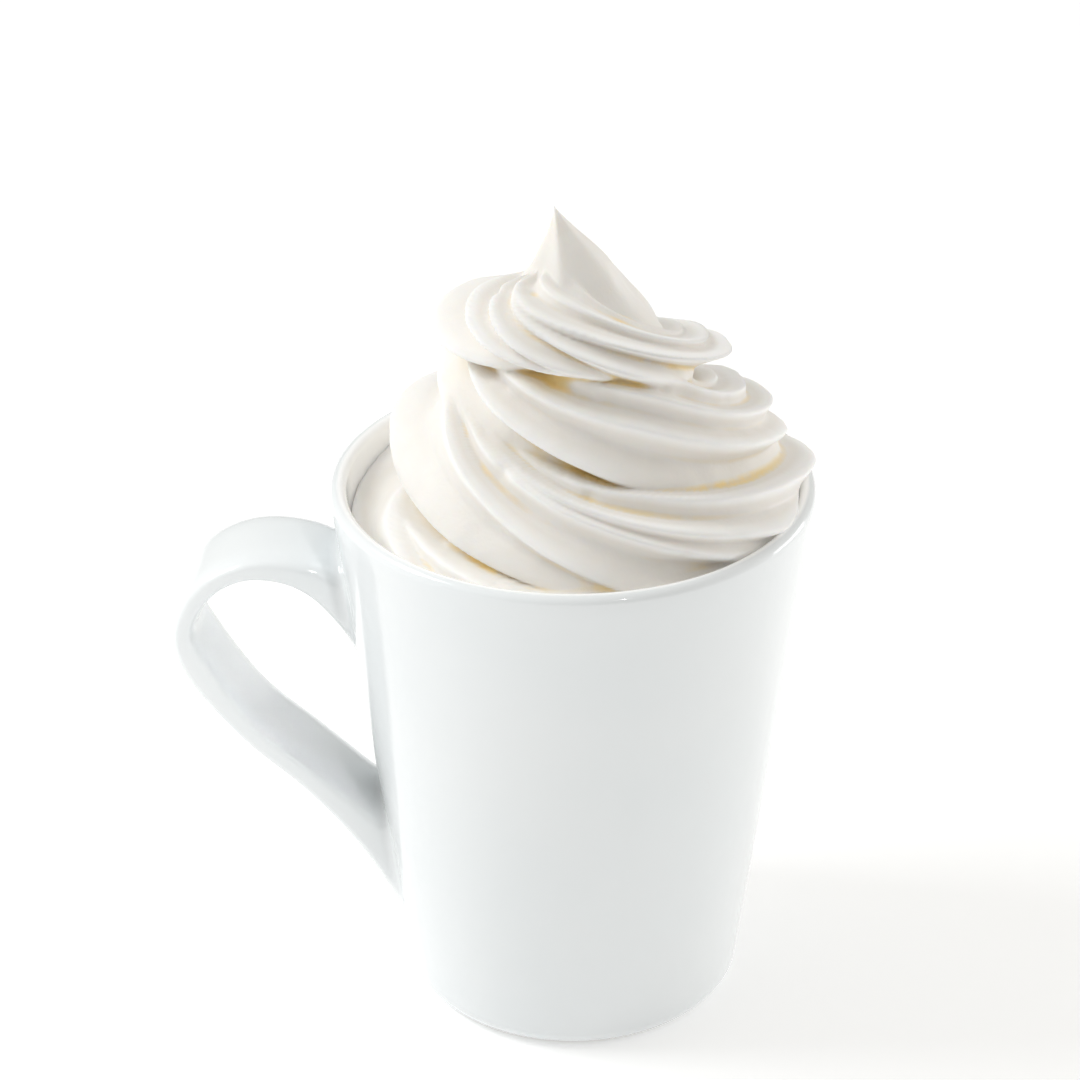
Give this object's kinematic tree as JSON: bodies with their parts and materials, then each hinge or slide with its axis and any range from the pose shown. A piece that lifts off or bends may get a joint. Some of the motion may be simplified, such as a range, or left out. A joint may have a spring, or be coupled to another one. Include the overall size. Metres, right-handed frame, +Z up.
{
  "type": "mochaccino in a mug",
  "caption": "Tall tapered white mug with a strap handle, filled with coffee and topped with a high piped swirl of whipped cream drawn up to a tip; a served hot drink",
  "frame": {"origin": "centre of the mug's underside, on the surface that it stands on", "axes": "+Z up along the mug's axis, -X toward the handle, -Y toward the viewer in the source view"},
  "size_m": [0.1199, 0.0896, 0.1615],
  "materials": {
    "mug_glaze": "white glaze, glossy and smooth",
    "coffee": null,
    "whipped_cream": null
  },
  "bodies": {
    "root": {"mug": "mug_glaze", "drink": "coffee", "cream": "whipped_cream"}
  },
  "joints": []
}
